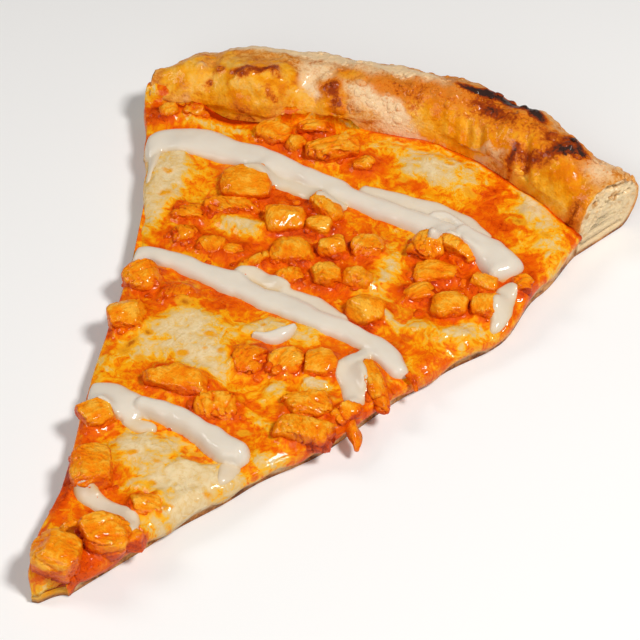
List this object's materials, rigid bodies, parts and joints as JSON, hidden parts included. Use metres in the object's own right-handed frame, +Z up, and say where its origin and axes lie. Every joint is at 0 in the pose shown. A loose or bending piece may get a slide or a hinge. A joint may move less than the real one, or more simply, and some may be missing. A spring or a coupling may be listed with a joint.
{
  "type": "buffalo chicken pizza slice",
  "caption": "Wedge of thin-crust pizza with a puffed rim, sauce, melted cheese, diced chicken in hot sauce and drizzled ranch dressing.",
  "frame": {"origin": "on the flat underside, on the slice's mid-line, 123 mm from the middle of the whole pizza", "axes": "+Y from the tip to the rim along the mid-line, +X to the right with the rim away, +Z up"},
  "size_m": [0.1499, 0.2101, 0.0243],
  "materials": {
    "crust": null,
    "sauce": null,
    "cheese": null,
    "chicken": null,
    "ranch": null
  },
  "bodies": {
    "root": {"crust": "crust", "sauce": "sauce", "cheese": "cheese", "chicken_01": "chicken", "chicken_02": "chicken", "chicken_03": "chicken", "chicken_04": "chicken", "chicken_05": "chicken", "chicken_06": "chicken", "chicken_07": "chicken", "chicken_08": "chicken", "chicken_09": "chicken", "chicken_10": "chicken", "chicken_11": "chicken", "chicken_12": "chicken", "chicken_13": "chicken", "chicken_14": "chicken", "chicken_15": "chicken", "chicken_16": "chicken", "chicken_17": "chicken", "chicken_18": "chicken", "chicken_19": "chicken", "chicken_20": "chicken", "chicken_21": "chicken", "chicken_22": "chicken", "chicken_23": "chicken", "chicken_24": "chicken", "chicken_25": "chicken", "chicken_26": "chicken", "chicken_27": "chicken", "chicken_28": "chicken", "chicken_29": "chicken", "chicken_30": "chicken", "chicken_31": "chicken", "chicken_32": "chicken", "chicken_33": "chicken", "chicken_34": "chicken", "chicken_35": "chicken", "chicken_36": "chicken", "chicken_37": "chicken", "chicken_38": "chicken", "chicken_39": "chicken", "chicken_40": "chicken", "chicken_41": "chicken", "chicken_42": "chicken", "chicken_43": "chicken", "chicken_44": "chicken", "chicken_45": "chicken", "chicken_46": "chicken", "chicken_47": "chicken", "chicken_48": "chicken", "chicken_49": "chicken", "chicken_50": "chicken"}
  },
  "joints": []
}
